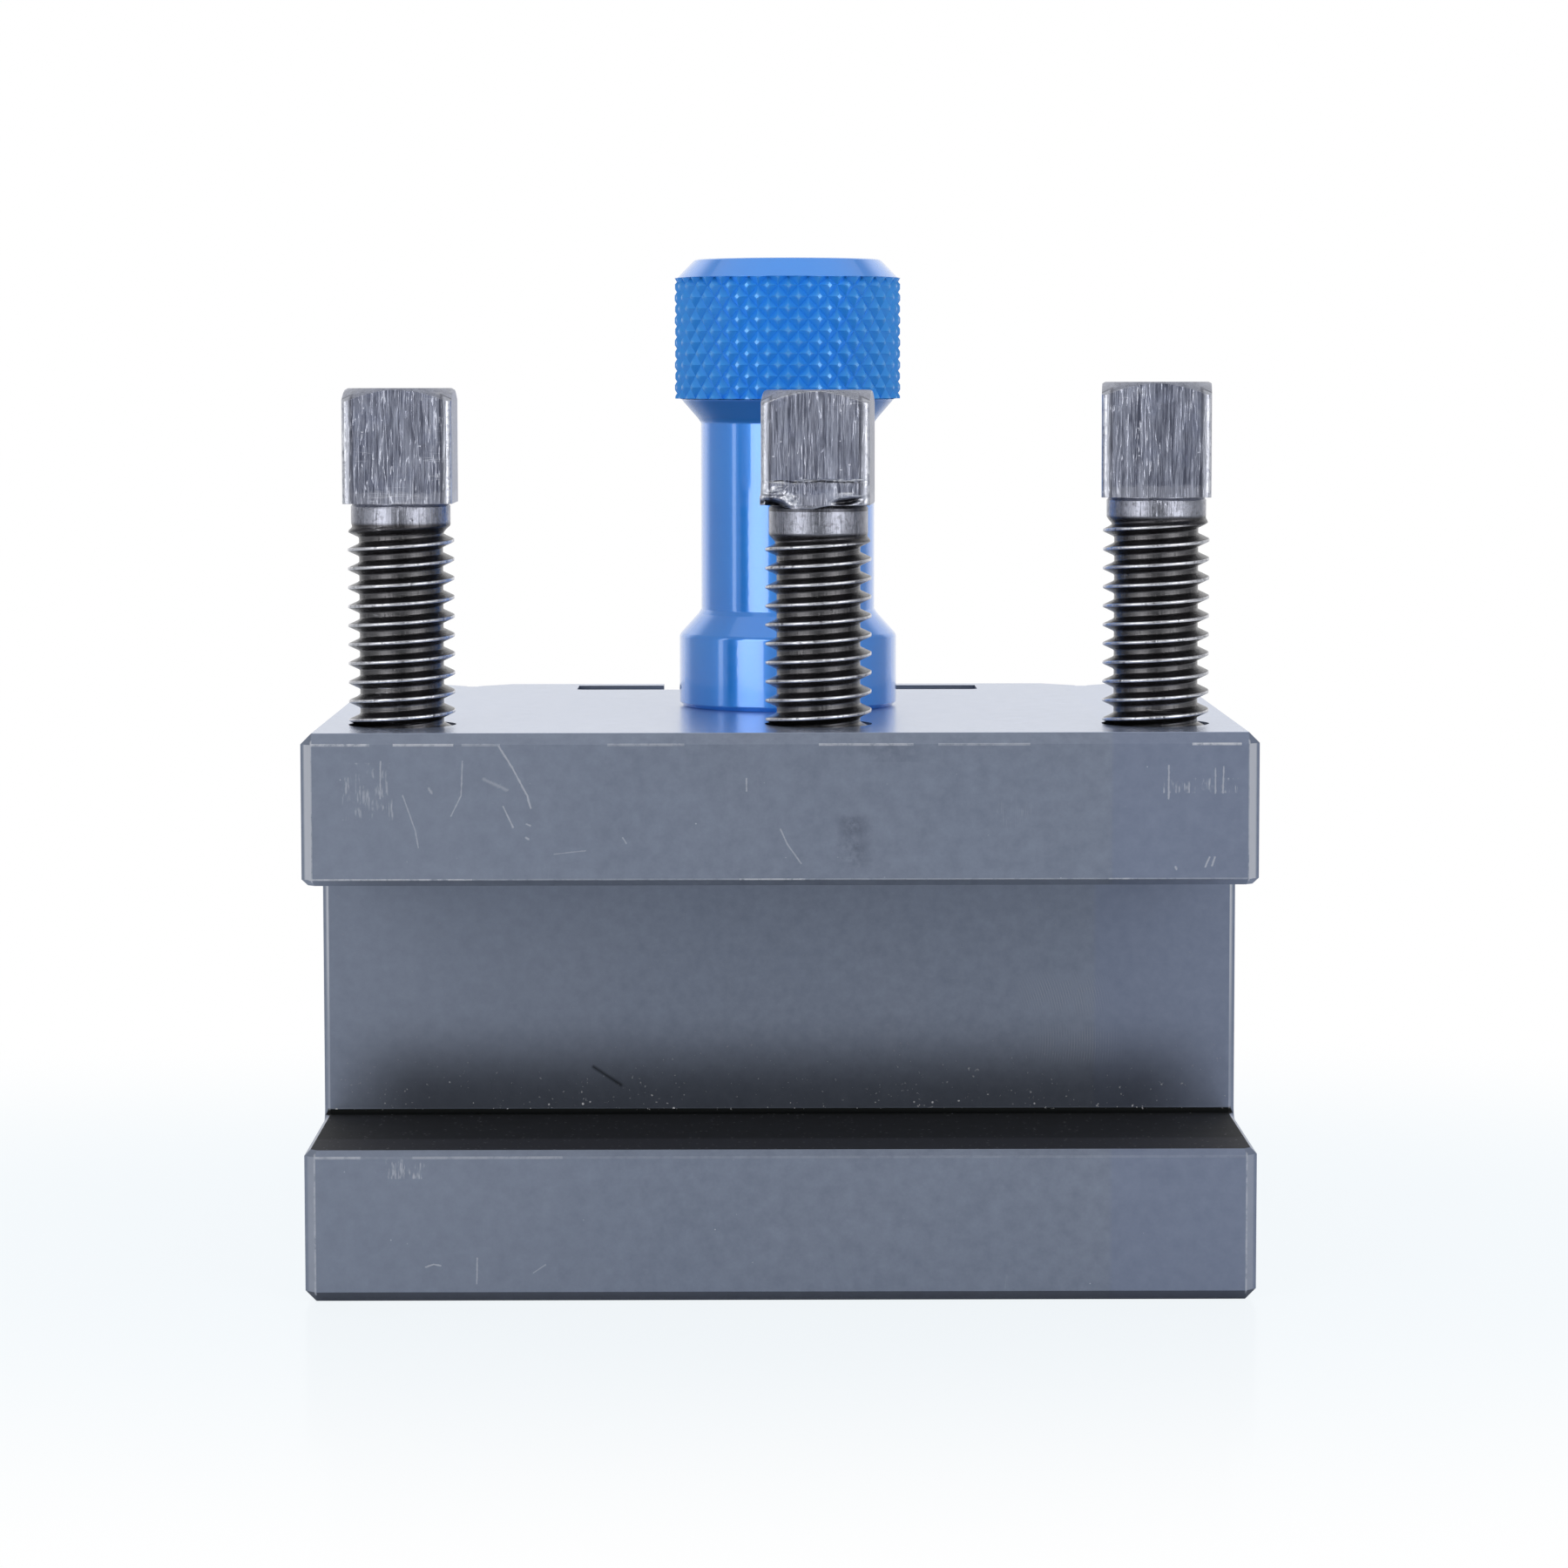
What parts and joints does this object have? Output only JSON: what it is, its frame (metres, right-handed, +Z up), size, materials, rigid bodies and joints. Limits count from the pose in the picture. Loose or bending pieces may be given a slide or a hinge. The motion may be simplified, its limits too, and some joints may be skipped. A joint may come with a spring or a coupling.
{
  "type": "turning tool holder",
  "caption": "Quick-change lathe tool holder block with a side-open tool slot, square-head clamp screws above it and a knurled spool nut for height.",
  "frame": {"origin": "centre of the holder's outline on the plane it stands on", "axes": "+X along the tool slot, -Y towards the side where the slot opens, +Y towards the tool post, +Z up along the clamp screws and the height nut"},
  "size_m": [0.07, 0.0572, 0.0769],
  "materials": {
    "blackened_steel": "satin chemically blackened steel, blue-grey, worn bright on its edges",
    "screw_steel": "brushed grey heads, nearly black threads",
    "stud_steel": "dark plain steel",
    "blue_nut": "satin blue anodised, knurled head"
  },
  "bodies": {
    "holder": {"body": "blackened_steel", "height_stud": "stud_steel"},
    "left_screw": {"clamp_screw_left": "screw_steel"},
    "middle_screw": {"clamp_screw_middle": "screw_steel"},
    "right_screw": {"clamp_screw_right": "screw_steel"},
    "nut": {"height_nut": "blue_nut"}
  },
  "joints": [
    {"name": "left_screw_feed", "type": "slide", "parent": "holder", "child": "left_screw", "axis": [0, 0, 1], "range_m": [-0.0162, 0.005]},
    {"name": "middle_screw_feed", "type": "slide", "parent": "holder", "child": "middle_screw", "axis": [0, 0, 1], "range_m": [-0.016, 0.005]},
    {"name": "right_screw_feed", "type": "slide", "parent": "holder", "child": "right_screw", "axis": [0, 0, 1], "range_m": [-0.0164, 0.005]},
    {"name": "nut_feed", "type": "slide", "parent": "holder", "child": "nut", "axis": [0, 0, 1], "range_m": [0, 0.02]}
  ]
}
